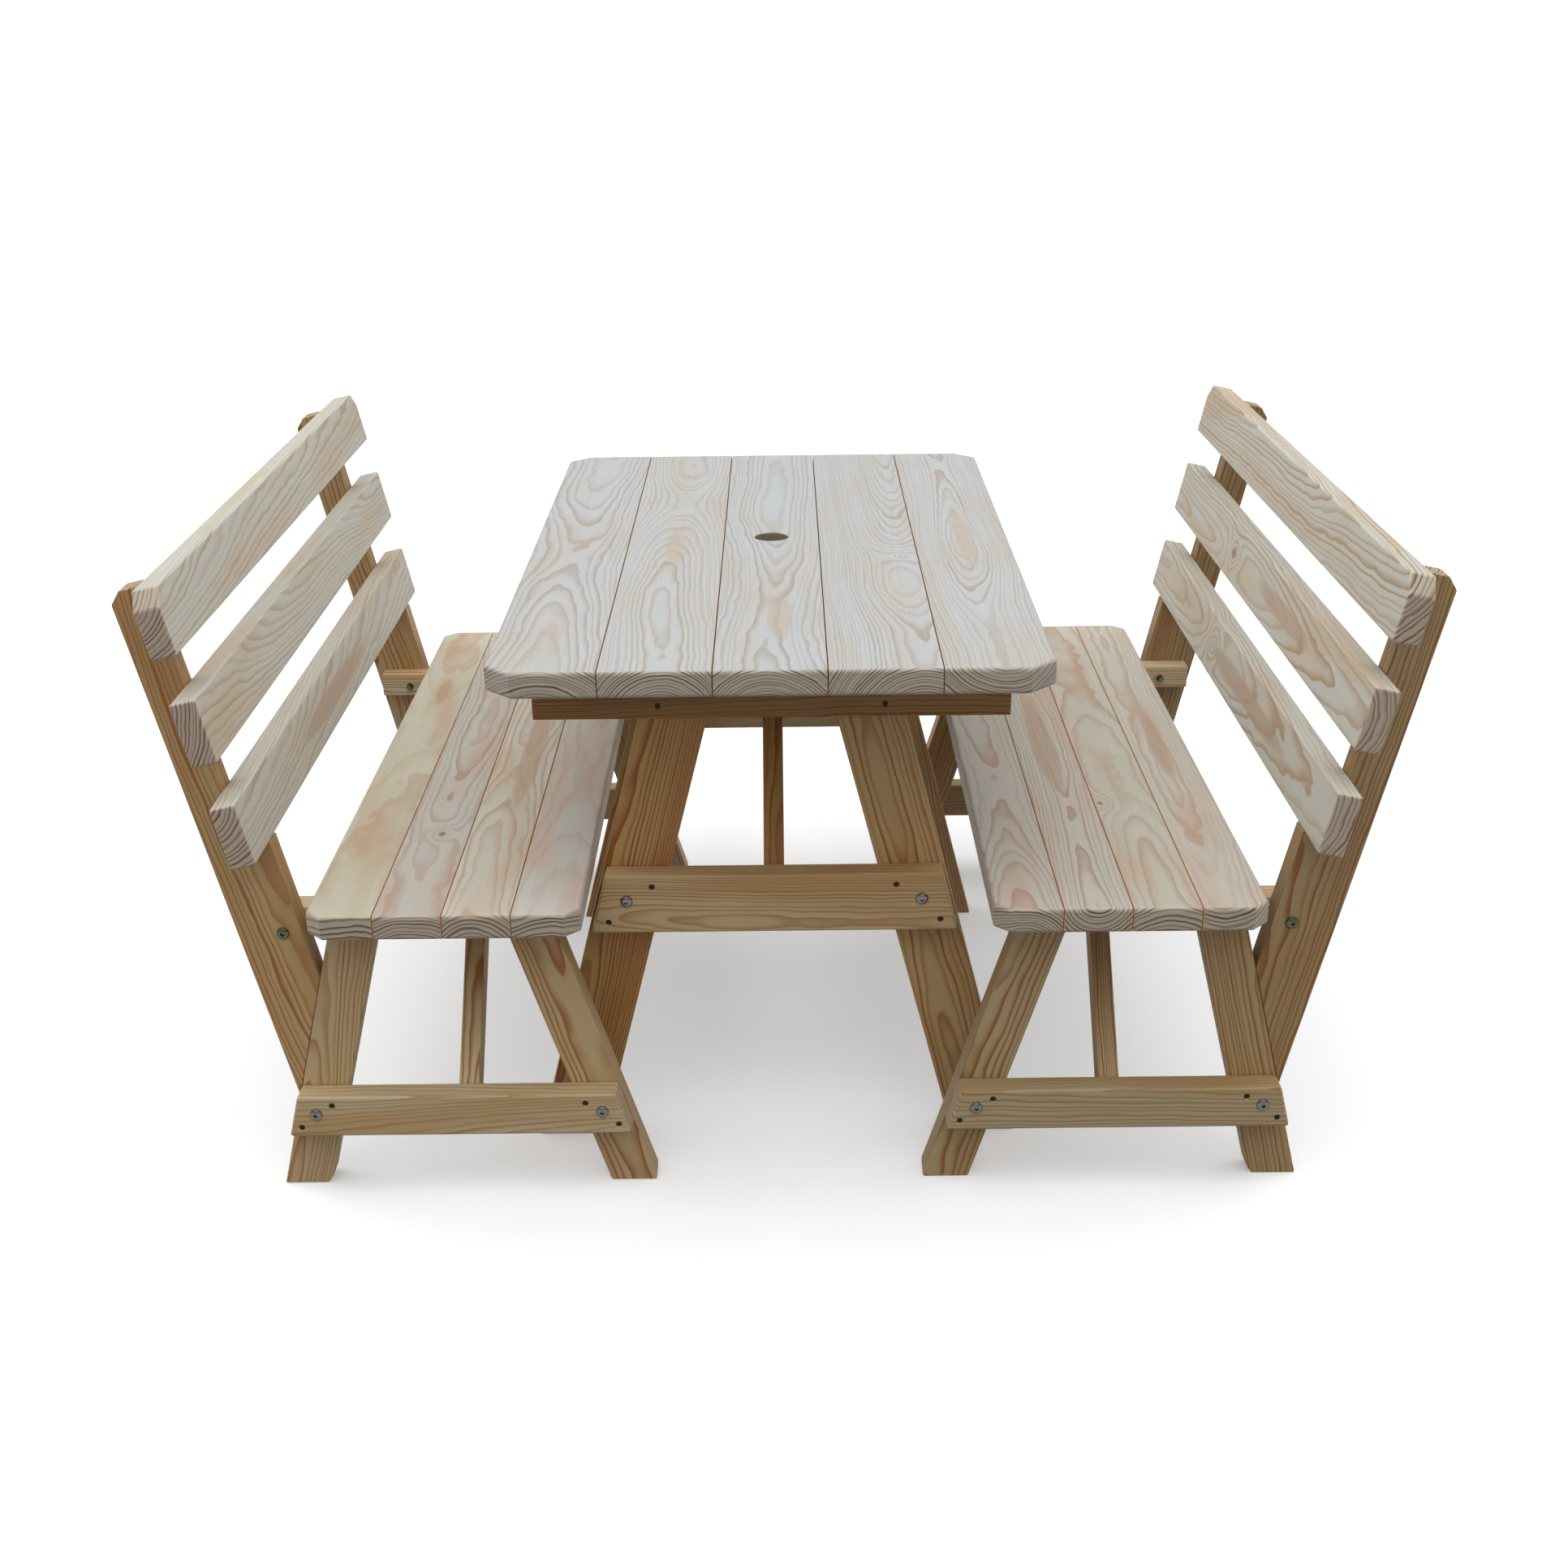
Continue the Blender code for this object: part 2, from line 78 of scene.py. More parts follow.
# each kind's material slot, rounding, segments of it, and the CAD's widest rounding face
TIMBER_KINDS = {
    "board": ("pale_pine", 0.0056, 4, 0.012),
    "slat": ("pale_pine", 0.0032, 3, 0.006),
    "rail": ("frame_pine", 0.0038, 3, NARROWEST_FACE),
    "frame": ("frame_pine", 0.0019, 2, NARROWEST_FACE),
}
HOLED_BOARD = "table_top_board_3"
HOLE_FROM_SIDE = 0.03           # the hole lies further than this inside its board's sides
HOLE_FROM_MIDDLE = 0.3          # and closer than this to the middle of its length
HOLE_SIDES = 96
HOLE_RIM = 0.0024               # rounding of the hole's rims
HOLE_RIM_TURNS = (0, 22, 45, 66, 84)
SMOOTH_BELOW = {"timber": 32, "screw": 35, "bolt": 30}  # degrees between smooth faces

RAIL_BOLT_SPREAD = {"table": 0.2023, "bench": 0.196}    # from the rail's middle
RAIL_BOLT_RISE = {"table": 0.0055, "bench": 0.0045}
HIGH_SCREW = {"table": (-0.0355, 0.0205), "bench": (-0.0228, 0.0125)}
LOW_SCREW = {"table": (0.0260, -0.0320), "bench": (0.0218, -0.0210)}
BATTEN_SCREW_SPREAD = 0.1487
BATTEN_SCREW_DROP = 0.0250      # below the batten's middle
SINK_RADIUS = 0.0050
SINK_DEPTH = 0.0030
SINK_SHAPE = ((0.0, -1.0), (0.72, -1.0), (0.80, -0.45), (1.0, 0.0))   # shares of those two
SINK_TOOL_ABOVE = 0.001         # how far its tool stands out of the face
SCREW_DEPTH = 0.0016            # head below the timber's face
SCREW_LENGTH = 0.062
SCREW_HEAD_RADIUS = SINK_RADIUS * 0.74
SCREW_TAPER = 0.004             # length of the point, and of the cone below the head
HEAD_RADIUS = 0.0084
HEAD_HEIGHT = 0.0044
HEAD_RIM = 0.2                  # share of the bolt head's height below its dome
HEAD_TURNS = (0, 15, 30, 45, 58, 68)
SHANK_RADIUS = 0.0039
WASHER_RADIUS = 0.0098
WASHER_THICKNESS = 0.0014
WASHER_EDGE = 0.0003            # chamfer
NUT_RADIUS = 0.0074
SMALL_NUT_RADIUS = 0.0062
NUT_HEIGHT = 0.0062
NUT_SIDES = 6
THREAD_END = 0.0028             # how far a bolt's thread stands out of its nut
THREAD_EDGE = 0.0008            # chamfer of the thread's end and of the nut
ROUND_SIDES = 40

# how pine is drawn: noise scales along and across a timber, and what the noise moves
SWIRL_RADIUS = 0.010            # a knot this wide is only a swirl in the grain
SWAY_SCALE = (1.5, 4.0)
SWAY_ACROSS = 0.045             # how far the pith wanders
SWAY_THROUGH = 0.040
RIPPLE_SCALE = (16.0, 38.0)     # rings are a little wavy
RIPPLE = 0.9                    # in rings
UNEVEN_STEP = 0.45              # ring widths change from ring to ring
UNEVEN = 1.9                    # in rings
KNOT_PUSH = 6.5                 # how many rings give way to a knot
KNOT_FADE = 0.42                # how fast they close again, for each knot radius
KNOT_STRETCH = 0.6              # less than 1: a knot is longer along the timber
LATE_RISE = (0.30, 0.93)        # shares of a ring between which late wood gets darker
LATE_FALL = (1.0, 0.91)         # and between which it's gone again, seen from the next ring
CLOUD_SCALE = (3.2, 17.0)       # soft blotches
FIBRE_SCALE = (9.0, 430.0)      # fine streaks
SPECK_SCALE = (300.0, 900.0)    # rough sawn ends
STAIN_HALF_WIDTH = 0.017
PAINTED_SHADE_POWERS = (1.0, 1.08, 1.35)    # painted shade takes blue away faster than red
BORE_PAINTED_SHADE = 0.6             # painted shade in the umbrella hole: its wall is end grain's colour drawn this far towards its dark rings

SUNS = {                        # place they shine from, spread in degrees, strength, colour
    "overhead_light": ((0, 0.6, 4.0), 70, 0.50, (0.93, 0.965, 1.0)),
    "front_light": ((0, -1.9, 3.5), 60, 0.90, (0.965, 0.985, 1.0)),
    "left_light": ((-3.6, 1.2, 3.0), 50, 0.64, (1.0, 0.99, 0.975)),
    "right_light": ((3.6, 1.2, 3.0), 50, 0.46, (1.0, 0.99, 0.975)),
}
SKY_COLOUR = (0.97, 0.985, 1.0, 1.0)
SKY_STRENGTH = 0.56
HORIZON_STRENGTH = 0.50
HAZE_STRENGTH = 0.42            # added right at the horizon
GROUND_STRENGTH = 0.13          # light that comes back from below
FLOOR_COLOUR = (0.88, 0.88, 0.88)
FLOOR_GLOW = 0.26               # keeps the floor pale in the shadows
FLOOR_RADIUS = 600.0
FLOOR_SIDES = 96
FLOOR_DROP = 0.0005             # floor below the feet

CAMERA_PLACE = (0.0008, -2.9838, 1.5267)
CAMERA_PITCH = 0.46084          # radians below the horizon
CAMERA_ROLL = -0.01163
CAMERA_YAW = -0.00213
CAMERA_LENS = 46.35             # millimetres, like the sensor's width
SENSOR_WIDTH = 36.0
CAMERA_SHIFT = (-0.00035, 0.1219)

ENDS = {"front": -1, "rear": 1}
SIDES = {"left": -1, "right": 1}
NO_MARK = (0, 0, 0)             # a timber without a stain or a knot


# ---------------------------------------------------------------- node graphs
class Graph:
    """A short way to write a material's node tree."""

    def __init__(self, material):
        self.tree = material.node_tree

    def node(self, kind, **settings):
        made = self.tree.nodes.new(kind)
        for name, value in settings.items():
            setattr(made, name, value)
        return made

    def plug(self, socket, value):
        if isinstance(value, bpy.types.NodeSocket):
            self.tree.links.new(value, socket)
        else:
            socket.default_value = value

    def maths(self, operation, *values):
        made = self.node("ShaderNodeMath", operation=operation)
        for socket, value in zip(made.inputs, values):
            self.plug(socket, value)
        return made.outputs[0]

    def join(self, x, y, z):
        made = self.node("ShaderNodeCombineXYZ")
        for socket, value in zip(made.inputs, (x, y, z)):
            self.plug(socket, value)
        return made.outputs[0]

    def split(self, vector):
        made = self.node("ShaderNodeSeparateXYZ")
        self.plug(made.inputs[0], vector)
        return made.outputs

    def attribute(self, name, kind, output):
        made = self.node("ShaderNodeAttribute", attribute_name=name, attribute_type=kind)
        return made.outputs[output]

    def own(self, name):
        """Three numbers that a timber carries as an object property."""
        return self.split(self.attribute(name, "OBJECT", "Vector"))

    def mask(self, name):
        """A number that a mesh carries on its faces."""
        return self.attribute(name, "GEOMETRY", "Fac")

    def length(self, x, y):
        squares = (self.maths("POWER", value, 2.0) for value in (x, y))
        return self.maths("SQRT", self.maths("ADD", *squares))

    def grain_noise(self, grain, seed, scale, detail):
        """Noise in a timber's grain coordinates, with a scale along and one across it."""
        place = self.join(
            self.maths("MULTIPLY_ADD", grain[0], scale[0], seed),
            self.maths("MULTIPLY", grain[1], scale[1]),
            self.maths("MULTIPLY", grain[2], scale[1]),
        )
        return self.noise(place, detail)

    def noise(self, place, detail):
        made = self.node("ShaderNodeTexNoise")
        self.plug(made.inputs["Vector"], place)
        self.plug(made.inputs["Scale"], 1.0)
        self.plug(made.inputs["Detail"], detail)
        return made.outputs

    def step(self, value, low, high):
        """0 below low, 1 above high, smooth between; low may be the higher one."""
        made = self.node("ShaderNodeMapRange", interpolation_type="SMOOTHSTEP")
        self.plug(made.inputs["Value"], value)
        self.plug(made.inputs["From Min"], low)
        self.plug(made.inputs["From Max"], high)
        return made.outputs["Result"]

    def mix(self, factor, first, second, blend="MIX"):
        made = self.node("ShaderNodeMix", data_type="RGBA", blend_type=blend)
        self.plug(made.inputs["Factor"], factor)
        self.plug(made.inputs["A"], first)
        self.plug(made.inputs["B"], second)
        return made.outputs["Result"]


def linear(red, green, blue):
    """A colour written as 0 to 255 screen values, as linear light."""
    shares = [value / 255 for value in (red, green, blue)]
    return (*[s / 12.92 if s < 0.04045 else ((s + 0.055) / 1.055) ** 2.4 for s in shares], 1.0)


def plain_material(name, colour, roughness, metallic, specular=0.5):
    """A material of one colour, given as linear light."""
    material = bpy.data.materials.new(name)
    material.use_nodes = True
    shader = material.node_tree.nodes["Principled BSDF"]
    shader.inputs["Base Color"].default_value = (*colour, 1.0)
    shader.inputs["Roughness"].default_value = roughness
    shader.inputs["Metallic"].default_value = metallic
    shader.inputs["Specular IOR Level"].default_value = specular
    return material


def ring_pattern(graph, grain):
    """Growth rings of a timber, from its grain coordinates and its own numbers.

    Returns a mask of dark late wood, the distance from the knot in knot radii, and whether
    the knot has a core.
    """
    along, across, through = grain
    pith_across, pith_depth, tilt = graph.own("pith")
    swell, swell_at, swell_length = graph.own("swell")
    knot_along, knot_across, knot_radius = graph.own("knot")
    seed, ring_width, _ = graph.own("look")

    sway = graph.grain_noise(grain, seed, SWAY_SCALE, 1.0)["Color"]
    sway_across, sway_through, _ = graph.split(sway)
    sideways = graph.maths("SUBTRACT", across, pith_across)
    sideways = graph.maths("MULTIPLY_ADD", sway_across, SWAY_ACROSS, sideways)
    sideways = graph.maths("SUBTRACT", sideways, SWAY_ACROSS / 2)
    offset = graph.maths("DIVIDE", graph.maths("SUBTRACT", along, swell_at), swell_length)
    hump = graph.maths("EXPONENT", graph.maths("MULTIPLY", graph.maths("POWER", offset, 2.0), -1.0))
    inward = graph.maths("ADD", through, pith_depth)
    inward = graph.maths("MULTIPLY_ADD", along, tilt, inward)
    inward = graph.maths("MULTIPLY_ADD", hump, swell, inward)
    inward = graph.maths("MULTIPLY_ADD", sway_through, SWAY_THROUGH, inward)

    count = graph.maths("DIVIDE", graph.length(sideways, inward), ring_width)
    uneven_place = graph.join(graph.maths("MULTIPLY", count, UNEVEN_STEP), seed, 0.0)
    count = graph.maths("MULTIPLY_ADD", graph.noise(uneven_place, 1.0)["Fac"], UNEVEN, count)
    ripple = graph.grain_noise(grain, seed, RIPPLE_SCALE, 1.0)["Fac"]
    ripple = graph.maths("SUBTRACT", ripple, 0.5)
    count = graph.maths("MULTIPLY_ADD", ripple, RIPPLE, count)

    away_along = graph.maths("MULTIPLY", graph.maths("SUBTRACT", along, knot_along), KNOT_STRETCH)
    away = graph.length(away_along, graph.maths("SUBTRACT", across, knot_across))
    away = graph.maths("DIVIDE", away, graph.maths("MAXIMUM", knot_radius, 0.0001))
    bulge = graph.maths("EXPONENT", graph.maths("MULTIPLY", away, -KNOT_FADE))
    has_knot = graph.maths("GREATER_THAN", knot_radius, 0.001)
    has_core = graph.maths("LESS_THAN", knot_radius, SWIRL_RADIUS)
    has_core = graph.maths("MULTIPLY", has_knot, has_core)
    bulge = graph.maths("MULTIPLY", bulge, has_knot)
    count = graph.maths("MULTIPLY_ADD", bulge, KNOT_PUSH, count)

    part = graph.maths("FRACT", count)
    rise = graph.maths("POWER", graph.step(part, *LATE_RISE), 1.5)
    fall = graph.step(part, *LATE_FALL)
    number = graph.node("ShaderNodeTexWhiteNoise", noise_dimensions="1D")
    graph.plug(number.inputs["W"], graph.maths("ADD", graph.maths("FLOOR", count), seed))
    strength = graph.maths("MULTIPLY_ADD", number.outputs["Value"], 0.6, 0.4)
    late = graph.maths("MULTIPLY", graph.maths("MULTIPLY", rise, fall), strength)
    return late, away, has_core


def stain_mask(graph, grain, cloud, late):
    """Where a timber's one long stain lies, with an uneven outline."""
    stain_along, stain_across, stain_length = graph.own("stain")
    from_along = graph.maths(
        "DIVIDE",
        graph.maths("SUBTRACT", grain[0], stain_along),
        graph.maths("MAXIMUM", stain_length, 0.001),
    )
    from_across = graph.maths("SUBTRACT", grain[1], stain_across)
    from_across = graph.maths("DIVIDE", from_across, STAIN_HALF_WIDTH)
    away = graph.length(from_along, from_across)
    away = graph.maths("MULTIPLY_ADD", cloud, 1.6, away)
    away = graph.maths("MULTIPLY_ADD", late, 0.25, away)
    stained = graph.maths("MULTIPLY", graph.step(away, 1.85, 1.45), 0.7)
    return graph.maths("MULTIPLY", stained, graph.maths("GREATER_THAN", stain_length, 0.001))


def pine_material(name, palette):
    """Pine whose colours run from cool to warm with a timber's own tone."""
    material = bpy.data.materials.new(name)
    material.use_nodes = True
    graph = Graph(material)
    grain = graph.split(graph.attribute("grain", "GEOMETRY", "Vector"))
    seed, _, tone = graph.own("look")
    contrast, painted_shade, _ = graph.own("grain_and_painted_shade")
    late, away, has_core = ring_pattern(graph, grain)

    def toned(kind):
        return graph.mix(tone, palette[f"{kind}_cool"], palette[f"{kind}_warm"])

    cloud = graph.grain_noise(grain, seed, CLOUD_SCALE, 2.0)["Fac"]
    face = graph.mix(graph.step(cloud, 0.42, 0.72), toned("ground"), toned("blush"))
    face = graph.mix(graph.maths("MULTIPLY", late, contrast), face, toned("late"))
    face = graph.mix(stain_mask(graph, grain, cloud, late), face, toned("stain"))
    fibre = graph.grain_noise(grain, seed, FIBRE_SCALE, 3.0)["Fac"]
    brightness = graph.maths("MULTIPLY_ADD", fibre, 0.20, 0.90)
    # painted shade: each timber's own number darkens its faces below 1 and lightens them above 1;
    # the fibre streaks are the wood's own
    fibre_and_painted_shade = [
        graph.maths("MULTIPLY", brightness, graph.maths("POWER", painted_shade, power))
        for power in PAINTED_SHADE_POWERS
    ]
    face = graph.mix(1.0, face, graph.join(*fibre_and_painted_shade), "MULTIPLY")

    end_rings = graph.maths("MULTIPLY", late, 1.4)
    end_colour = graph.mix(end_rings, palette["end_ground"], palette["end_late"])
    speck = graph.grain_noise(grain, seed, SPECK_SCALE, 2.0)["Fac"]
    speck = graph.maths("MULTIPLY_ADD", speck, 0.36, 0.82)
    end_colour = graph.mix(1.0, end_colour, graph.join(speck, speck, speck), "MULTIPLY")
    colour = graph.mix(graph.step(graph.mask("end_grain"), 0.25, 0.9), face, end_colour)

    knot_rings = graph.maths("SINE", graph.maths("MULTIPLY", away, 9.0))
    knot_rings = graph.maths("MULTIPLY_ADD", knot_rings, 0.35, 0.5)
    core = graph.mix(knot_rings, palette["knot"], palette["knot_dark"])
    in_core = graph.maths("MULTIPLY", graph.step(away, 1.15, 0.75), has_core)
    colour = graph.mix(graph.maths("MULTIPLY", in_core, 0.75), colour, core)
    colour = graph.mix(graph.mask("seam"), colour, palette["seam"])
    # painted shade in the umbrella hole: its wall is drawn in a dark end-grain colour
    wall = graph.mix(BORE_PAINTED_SHADE, palette["end_ground"], palette["end_late"])
    colour = graph.mix(graph.mask("bore"), colour, wall)

    shader = material.node_tree.nodes["Principled BSDF"]
    graph.plug(shader.inputs["Base Color"], colour)
    shader.inputs["Roughness"].default_value = 0.58
    shader.inputs["Specular IOR Level"].default_value = 0.35
    bump = graph.node("ShaderNodeBump")
    graph.plug(bump.inputs["Height"], graph.maths("MULTIPLY_ADD", late, 0.7, fibre))
    bump.inputs["Strength"].default_value = 0.22
    bump.inputs["Distance"].default_value = 0.0006
    graph.plug(shader.inputs["Normal"], bump.outputs["Normal"])
    return material


# each palette's colours, cool and warm: plain wood, late wood of the rings, blotches, stain
TOP = {
    "ground_cool": linear(190, 193, 194),
    "ground_warm": linear(202, 196, 184),
    "late_cool": linear(172, 160, 147),
    "late_warm": linear(186, 158, 128),
    "blush_cool": linear(192, 187, 180),
    "blush_warm": linear(197, 187, 173),
    "stain_cool": linear(190, 175, 160),
    "stain_warm": linear(195, 171, 144),
    "end_ground": linear(186, 174, 158),
    "end_late": linear(88, 67, 50),
    "knot": linear(170, 128, 92),
    "knot_dark": linear(120, 80, 50),
    "seam": linear(172, 142, 114),
}
SEAT = {
    "ground_cool": linear(205, 200, 189),
    "ground_warm": linear(213, 205, 180),
    "late_cool": linear(186, 150, 130),
    "late_warm": linear(192, 152, 108),
    "blush_cool": linear(208, 187, 169),
    "blush_warm": linear(206, 182, 148),
    "stain_cool": linear(188, 160, 134),
    "stain_warm": linear(190, 152, 112),
    "end_ground": linear(184, 169, 150),
    "end_late": linear(82, 60, 44),
    "knot": linear(176, 130, 94),
    "knot_dark": linear(116, 74, 46),
    "seam": linear(216, 162, 112),
}
SLAT = {
    **SEAT,
    "ground_cool": linear(205, 203, 194),
    "ground_warm": linear(211, 204, 184),
    "late_cool": linear(179, 151, 120),
    "late_warm": linear(186, 149, 106),
    "blush_cool": linear(205, 189, 166),
    "blush_warm": linear(206, 183, 150),
    "end_ground": linear(186, 168, 148),
    "end_late": linear(98, 74, 56),
}
FRAME = {
    "ground_cool": linear(214, 198, 164),
    "ground_warm": linear(203, 158, 94),
    "late_cool": linear(176, 126, 74),
    "late_warm": linear(154, 86, 34),
    "blush_cool": linear(208, 178, 134),
    "blush_warm": linear(186, 132, 74),
    "stain_cool": linear(186, 136, 84),
    "stain_warm": linear(166, 108, 56),
    "end_ground": linear(190, 168, 130),
    "end_late": linear(112, 80, 50),
    "knot": linear(140, 92, 50),
    "knot_dark": linear(86, 52, 26),
    "seam": linear(186, 138, 96),
}
top_pine = pine_material("table_top_pine", TOP)
seat_pine = pine_material("seat_pine", SEAT)
slat_pine = pine_material("back_slat_pine", SLAT)
frame_pine = pine_material("frame_pine_timber", FRAME)
zinc = plain_material("zinc_plated_steel", (0.150, 0.145, 0.130), 0.28, 1.0)
green_zinc = plain_material("green_zinc_plated_steel", (0.075, 0.092, 0.055), 0.34, 1.0)
screw_coat = plain_material("coated_screw_steel", (0.044, 0.033, 0.019), 0.65, 0.2, 0.12)


# ---------------------------------------------------------------- solids
def solid_between(planes):
    """The convex block that lies behind every plane, given as a point and a normal."""
    shape = bmesh.new()
    bmesh.ops.create_cube(shape, size=LARGE)
    for point, normal in planes:
        everything = shape.verts[:] + shape.edges[:] + shape.faces[:]
        bmesh.ops.bisect_plane(
            shape, geom=everything, plane_co=point, plane_no=normal, clear_outer=True
        )
        open_edges = [edge for edge in shape.edges if edge.is_boundary]
        bmesh.ops.holes_fill(shape, edges=open_edges, sides=0)
    bmesh.ops.remove_doubles(shape, verts=shape.verts, dist=WELD)
    bmesh.ops.recalc_face_normals(shape, faces=shape.faces)
    return shape


def merge_flat(shape):
    """Weld a shape's vertices, and merge the triangles of each flat face."""
    bmesh.ops.remove_doubles(shape, verts=shape.verts, dist=WELD)
    bmesh.ops.dissolve_limit(
        shape, angle_limit=math.radians(FLAT), verts=shape.verts, edges=shape.edges
    )


def broad_faces(node, least_width):
    """The planes of a CAD node's broad faces: those it lies behind, and its rebate's."""
    shape = bmesh.new()
    shape.from_mesh(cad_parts[node].data)
    merge_flat(shape)
    corners = [vert.co.copy() for vert in shape.verts]
    outer, rebate = [], []
    for face in sorted(shape.faces, key=lambda face: -face.calc_area()):
        if face.calc_area() / max(edge.calc_length() for edge in face.edges) < least_width:
            continue
        point, normal = face.verts[0].co.copy(), face.normal.copy()
        reach = max((corner - point).dot(normal) for corner in corners)
        planes = outer if reach < PLANE_STEP else rebate
        known = any(
            normal.dot(other) > SAME_WAY and abs((point - spot).dot(normal)) < PLANE_STEP
            for spot, other in planes
        )
        if not known:
            planes.append((point, normal))
    shape.free()
    return outer, rebate


def mesh_from(shape, name):
    """A mesh of the shape, which is freed."""
    mesh = bpy.data.meshes.new(name)
    shape.to_mesh(mesh)
    shape.free()
    return mesh


def cut_away(mesh, cutter):
    """A new mesh: the first with the second's solid taken away."""
    board = bpy.data.objects.new("board_to_cut", mesh)
    tool = bpy.data.objects.new("cutting_tool", cutter)
    for item in (board, tool):
        bpy.context.scene.collection.objects.link(item)
    cut = board.modifiers.new("cut", "BOOLEAN")
    cut.operation = "DIFFERENCE"
    cut.solver = "EXACT"
    cut.object = tool
    bpy.context.view_layer.update()
    evaluated = board.evaluated_get(bpy.context.evaluated_depsgraph_get())
    result = bpy.data.meshes.new_from_object(evaluated)
    for item in (board, tool):
        bpy.data.objects.remove(item, do_unlink=True)
    return result


def lathe(shape, profile, place, sides):
    """Add a turned solid to a shape: (radius, height) points around place's local Z."""
    rings = []
    for radius, height in profile:
        if radius < WELD:
            rings.append([shape.verts.new(place @ Vector((0, 0, height)))])
            continue
        turns = [math.tau * step / sides for step in range(sides)]
        rings.append([
            shape.verts.new(
                place @ Vector((radius * math.cos(turn), radius * math.sin(turn), height))
            )
            for turn in turns
        ])
    for low, high in zip(rings, rings[1:]):
        for step in range(sides):
            corners = [
                low[step % len(low)],
                low[(step + 1) % len(low)],
                high[(step + 1) % len(high)],
                high[step % len(high)],
            ]
            shape.faces.new(list(dict.fromkeys(corners)))


def outward(point, axis):
    """A placement whose local Z leaves the timber's face at a point."""
    turn = Vector((0, 0, 1)).rotation_difference(axis).to_matrix().to_4x4()
    return Matrix.Translation(point) @ turn


def smooth(mesh, angle):
    """Shade a mesh smooth, apart from edges sharper than an angle in degrees."""
    for polygon in mesh.polygons:
        polygon.use_smooth = True
    mesh.set_sharp_from_angle(angle=math.radians(angle))


def show(name, mesh, material, body):
    """Put a finished mesh in the scene, as a piece that rides on a body."""
    mesh.materials.clear()
    mesh.materials.append(material)
    piece = bpy.data.objects.new(name, mesh)
    bpy.context.scene.collection.objects.link(piece)
    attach(piece, body)
    return piece


# ---------------------------------------------------------------- timbers
def grain_frame(node):
    """Unit directions along, across and through a timber, and its middle."""
    outer, _ = broad_faces(node, NARROWEST_FACE)
    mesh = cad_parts[node].data
    edges = [
        mesh.vertices[b].co - mesh.vertices[a].co
        for a, b in (edge.vertices for edge in mesh.edges)
    ]
    through = outer[0][1]
    through = through * math.copysign(1.0, max(through, key=abs))
    sides = [normal for _, normal in outer if abs(normal.dot(through)) < 10 * SQUARE]
    square = [
        edge
        for edge in edges
        if abs(edge.normalized().dot(through)) < SQUARE
        and any(abs(edge.normalized().dot(normal)) < SQUARE for normal in sides)
    ]
    along = max(square, key=lambda edge: edge.length).normalized()
    along = along * math.copysign(1.0, max(along, key=abs))
    across = along.cross(through)
    axes = (along, across, through)
    middle = []
    for axis in axes:
        reach = [vert.co.dot(axis) for vert in mesh.vertices]
        middle.append((min(reach) + max(reach)) / 2)
    return axes, middle


def store_grain(mesh, node, seam_faces, bore_radius):
    """Keep grain coordinates and masks of end grain, seam faces and a bore's wall.

    A bore runs through the timber, less than its diameter from the timber's middle.
    """
    axes, middle = grain_frame(node)
    grain = mesh.attributes.new("grain", "FLOAT_VECTOR", "POINT")
    for vert in mesh.vertices:
        grain.data[vert.index].vector = [
            vert.co.dot(axis) - centre for axis, centre in zip(axes, middle)
        ]
    near_side = max(abs(item.vector[1]) for item in grain.data) - 2 * SEAM_ROUND
    end_grain = mesh.attributes.new("end_grain", "FLOAT", "FACE")
    seam = mesh.attributes.new("seam", "FLOAT", "FACE")
    bore = mesh.attributes.new("bore", "FLOAT", "FACE")
    for polygon in mesh.polygons:
        place = [polygon.center.dot(axis) - centre for axis, centre in zip(axes, middle)]
        end_grain.data[polygon.index].value = abs(polygon.normal.dot(axes[0]))
        facing = any(polygon.normal.dot(normal) > FACING for normal in seam_faces)
        seam.data[polygon.index].value = float(facing and abs(place[1]) > near_side)
        near = math.hypot(place[0], place[1]) < 3 * bore_radius
        wall = near and abs(polygon.normal.dot(axes[2])) < WALL_TILT
        bore.data[polygon.index].value = float(wall)


def screw_tool(screws, axis):
    """Countersunk wells for a timber's screws, in a face that looks along an axis."""
    shape = bmesh.new()
    profile = (
        *((SINK_RADIUS * width, SINK_DEPTH * height) for width, height in SINK_SHAPE),
        (SINK_RADIUS, SINK_TOOL_ABOVE),
        (0.0, SINK_TOOL_ABOVE),
    )
    for point in screws:
        lathe(shape, profile, outward(point, axis), ROUND_SIDES)
    bmesh.ops.recalc_face_normals(shape, faces=shape.faces)
    return mesh_from(shape, "screw_tool")


def round_edges(shape, edges, width, segments):
    """Round the edges with strips that reach a width into both faces."""
    bmesh.ops.bevel(
        shape,
        geom=edges,
        offset=width,
        offset_type="OFFSET",
        segments=segments,
        profile=0.5,
        affect="EDGES",
        clamp_overlap=True,
    )


